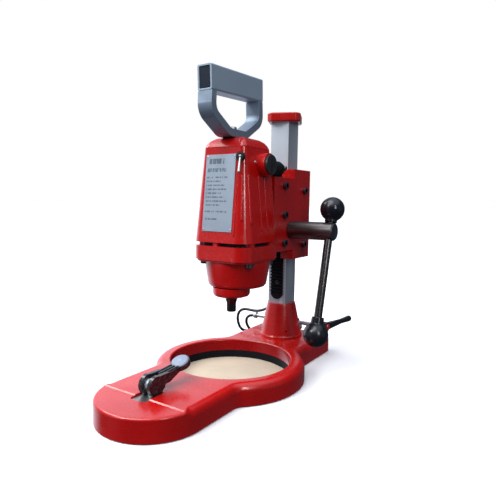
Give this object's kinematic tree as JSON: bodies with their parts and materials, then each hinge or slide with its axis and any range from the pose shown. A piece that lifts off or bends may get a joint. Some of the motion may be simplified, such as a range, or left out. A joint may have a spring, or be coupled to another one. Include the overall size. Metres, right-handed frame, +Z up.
{
  "type": "stone core drilling machine on a stand",
  "caption": "Red motor drill for stone on a square column with rack feed lever, ball knobs, top handle and a ring base around an open work hole, with a cam clamp.",
  "frame": {"origin": "centre of the work opening in the ring base, on the plane the base rests on", "axes": "+Z up along the spindle and column, -Y to the round front end with the cam clamp, +Y to the column, +X to the feed lever side"},
  "size_m": [0.2776, 0.5859, 0.5072],
  "materials": {
    "red_cast_iron": "gloss red enamel on cast iron",
    "red_cast_aluminium": "gloss red enamel on die-cast aluminium",
    "black_rubber": "matt black rubber",
    "zinc_fastener": "zinc plated",
    "ground_steel": "ground bright",
    "dark_gear_steel": "oiled dark steel",
    "bright_steel": "bright steel",
    "black_lever": "gloss black enamel",
    "red_plastic": "gloss red",
    "bronze": "machined bronze",
    "gunmetal_steel": "oil-blacked steel",
    "black_phenolic": "polished black phenolic",
    "grey_aluminium": "as cast",
    "label_aluminium": "satin, printed with plain dark bars",
    "bright_aluminium": "brushed",
    "black_plastic": "satin black",
    "carbon": "matt carbon",
    "laminated_steel": "varnished laminations",
    "copper": "turned copper",
    "black_cord": "satin black rubber"
  },
  "bodies": {
    "stand": {"base_casting": "red_cast_iron", "base_seal_ring": "black_rubber", "column_socket": "red_cast_iron", "socket_bolts": "zinc_fastener", "column_tube": "ground_steel", "column_cap": "red_cast_aluminium", "rack": "dark_gear_steel", "rack_screws": "zinc_fastener", "clamp_rod": "bright_steel", "slot_plate": "bright_steel", "clamp_stud": "bright_steel", "stud_nut": "bright_steel", "cam_pivot_pin": "bright_steel", "power_cord": "black_cord", "cord_coil": "black_cord", "plug_lead": "black_cord", "power_plug": "black_cord"},
    "lock": {"lock_lever": "black_lever", "lock_lever_cap": "red_plastic"},
    "cam": {"cam_lever": "black_lever", "cam_lever_cap": "bright_steel"},
    "carriage": {"carriage_casting": "red_cast_aluminium", "gib_strips": "bronze", "gib_screws": "zinc_fastener", "side_screws": "zinc_fastener", "motor_bracket": "red_cast_aluminium", "pinion_bushes": "bronze", "motor_housing": "red_cast_aluminium", "top_cover": "red_cast_aluminium", "lower_housing": "red_cast_aluminium", "gear_housing": "red_cast_aluminium", "nose_collar": "red_cast_aluminium", "gear_plate": "grey_aluminium", "housing_screws": "zinc_fastener", "label_plate": "label_aluminium", "brush_caps": "black_plastic", "carbon_brushes": "carbon", "stator": "laminated_steel", "motor_bearings": "bright_steel", "spindle_bearings": "bright_steel", "spindle_seal": "black_rubber", "idler_pin": "dark_gear_steel", "switch_body": "black_plastic", "handle_strap": "bright_aluminium", "handle_grip": "bright_aluminium", "grip_end_caps": "black_plastic", "cord_gland": "black_plastic", "motor_lead": "black_cord"},
    "feed": {"pinion": "dark_gear_steel", "feed_hub": "gunmetal_steel", "lever_rod": "gunmetal_steel", "upper_knob": "black_phenolic", "lower_knob": "black_phenolic"},
    "motor": {"armature": "laminated_steel", "commutator": "copper", "fan": "black_plastic"},
    "idler": {"idler_gear": "dark_gear_steel"},
    "spindle": {"spindle_gear": "dark_gear_steel", "spindle": "gunmetal_steel"},
    "switch": {"switch_toggle": "bright_steel"}
  },
  "joints": [
    {"name": "carriage_slide", "type": "slide", "parent": "stand", "child": "carriage", "axis": [0, 0, 1], "range_m": [-0.08, 0.08]},
    {"name": "feed_lever_turn", "type": "hinge", "parent": "carriage", "child": "feed", "pos_m": [0, 0.1285, 0.248], "axis": [1, 0, 0], "range_deg": [-209, 209]},
    {"name": "armature_spin", "type": "hinge", "parent": "carriage", "child": "motor", "pos_m": [0, 0.022, 0.3], "axis": [0, 0, 1], "continuous": true},
    {"name": "idler_spin", "type": "hinge", "parent": "carriage", "child": "idler", "pos_m": [-0.02236, 0.01327, 0.17], "axis": [0, 0, 1], "continuous": true},
    {"name": "spindle_spin", "type": "hinge", "parent": "carriage", "child": "spindle", "pos_m": [0, 0, 0.15], "axis": [0, 0, 1], "continuous": true},
    {"name": "cam_lever_turn", "type": "hinge", "parent": "stand", "child": "cam", "pos_m": [0, -0.188, 0.0462], "axis": [1, 0, 0], "range_deg": [0, 95]},
    {"name": "lock_lever_turn", "type": "hinge", "parent": "stand", "child": "lock", "pos_m": [0.08, 0.202, 0.056], "axis": [1, 0, 0], "range_deg": [-18, 8]},
    {"name": "switch_toggle_turn", "type": "hinge", "parent": "carriage", "child": "switch", "pos_m": [0.03716, -0.03225, 0.368], "axis": [0.9272, 0.3746, 0], "range_deg": [-50, 0]}
  ],
  "couplings": [
    {"joint": "feed_lever_turn", "follows": "carriage_slide", "rad_per_m": -45.455},
    {"joint": "idler_spin", "follows": "armature_spin", "ratio": -0.23077},
    {"joint": "spindle_spin", "follows": "armature_spin", "ratio": 0.10256}
  ]
}
